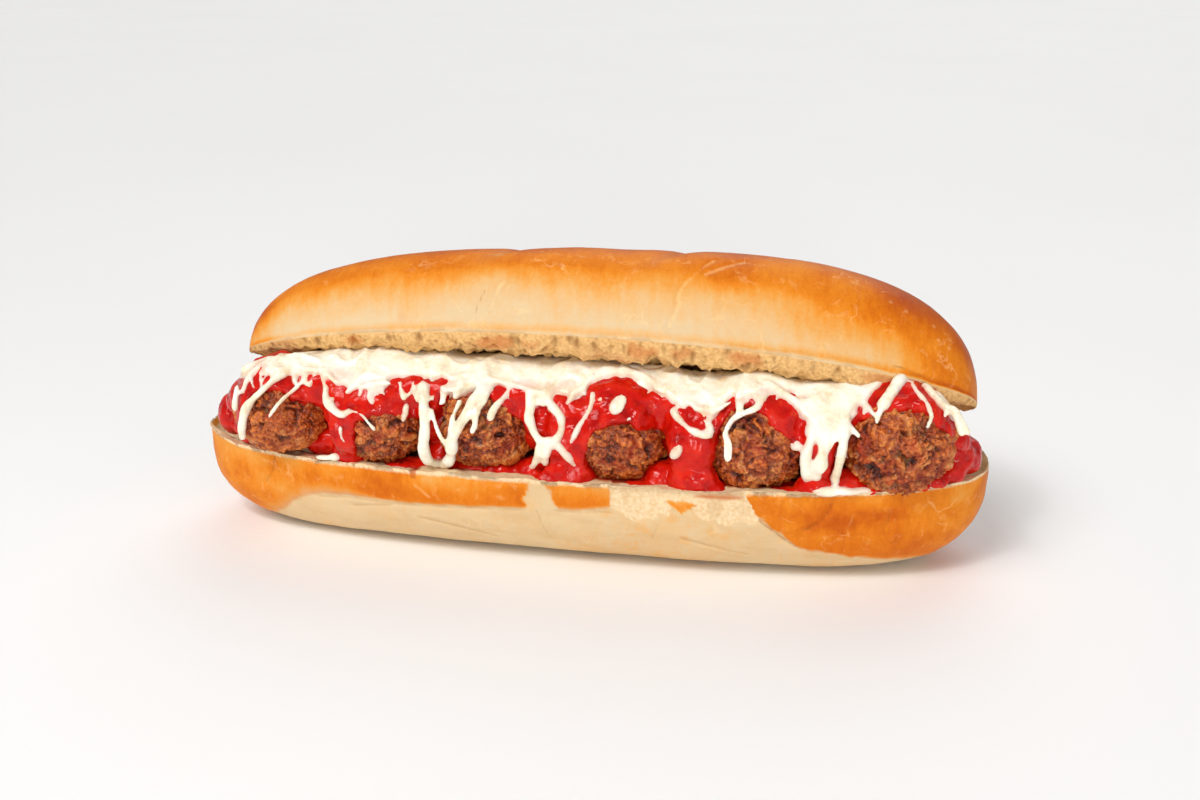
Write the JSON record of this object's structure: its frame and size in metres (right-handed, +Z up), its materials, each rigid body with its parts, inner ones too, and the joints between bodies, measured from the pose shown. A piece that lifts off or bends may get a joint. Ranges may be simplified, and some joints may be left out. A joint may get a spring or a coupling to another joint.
{
  "type": "meatball submarine sandwich",
  "caption": "long split bread roll holding a row of meatballs in tomato sauce under melted cheese, its upper half leaning back so that the filling shows along the front",
  "frame": {"origin": "on the surface that the sandwich rests on, under the middle of its bounding box", "axes": "X runs along the roll, -Y is the side where the mouth opens and the filling shows, Z is up"},
  "size_m": [0.2834, 0.0832, 0.1043],
  "materials": {
    "crust": "soft baked crust, golden on the shoulders and pale low down",
    "meat": "rough browned minced meat",
    "sauce": "wet tomato sauce",
    "cheese": "melted white cheese"
  },
  "bodies": {
    "root": {"bun_bottom": "crust", "bun_top": "crust", "meatball_1": "meat", "meatball_2": "meat", "meatball_3": "meat", "meatball_4": "meat", "meatball_5": "meat", "meatball_6": "meat", "sauce": "sauce", "cheese": "cheese"}
  },
  "joints": []
}
